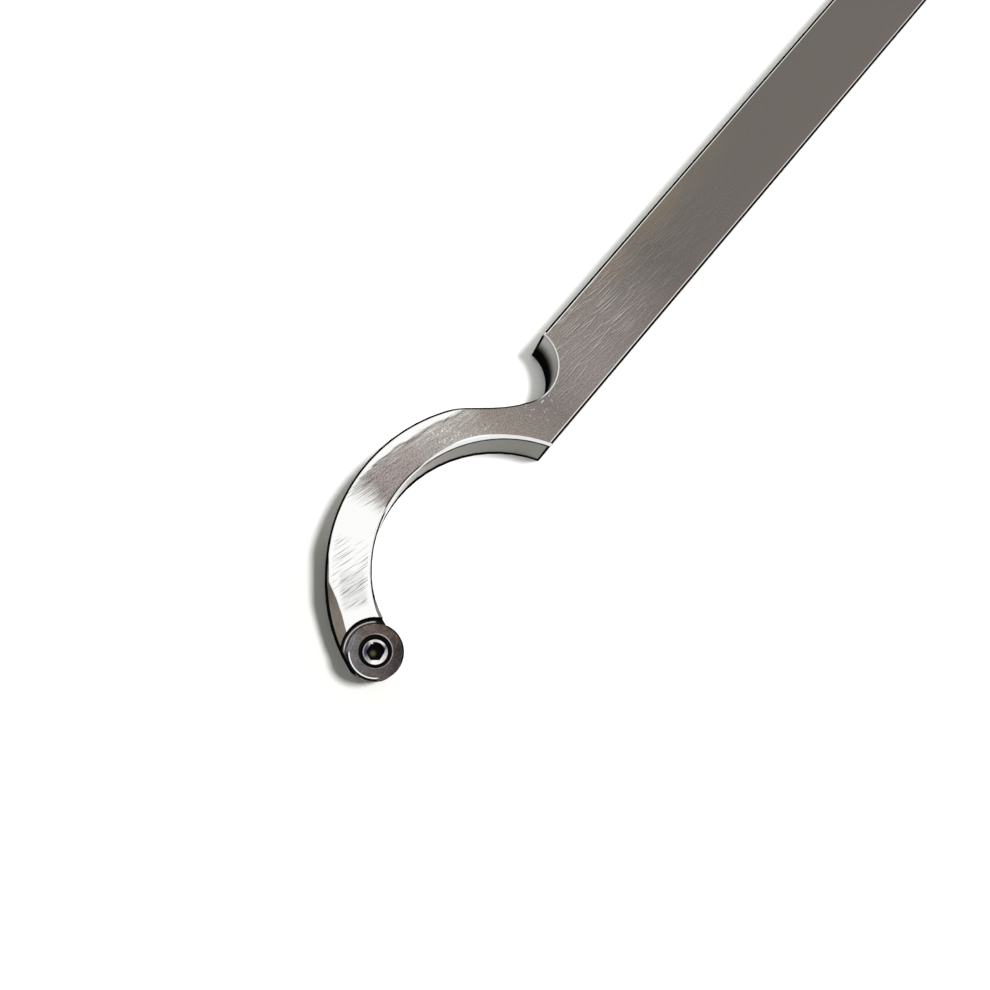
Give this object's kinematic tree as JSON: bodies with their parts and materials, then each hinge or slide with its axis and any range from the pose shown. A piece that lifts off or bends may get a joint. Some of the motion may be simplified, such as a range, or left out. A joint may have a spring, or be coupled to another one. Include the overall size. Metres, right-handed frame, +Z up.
{
  "type": "woodturning hollowing tool",
  "caption": "Hooked square steel bar with a round replaceable cutter screwed to its tip, for hollowing turned wooden vessels.",
  "frame": {"origin": "on the underside of the bar, on its centre line, level with the shoulder where the hook begins", "axes": "+X along the bar to its tail, +Y to the notched side, +Z up, out of the top face that carries the cutter"},
  "size_m": [0.3016, 0.0248, 0.0127],
  "materials": {
    "bar_steel": "ground and brushed, fine scratches",
    "cutter_carbide": "dark ground carbide",
    "screw_steel": "bright plated"
  },
  "bodies": {
    "root": {"tool_bar": "bar_steel", "carbide_cutter": "cutter_carbide", "cutter_screw": "screw_steel"}
  },
  "joints": []
}
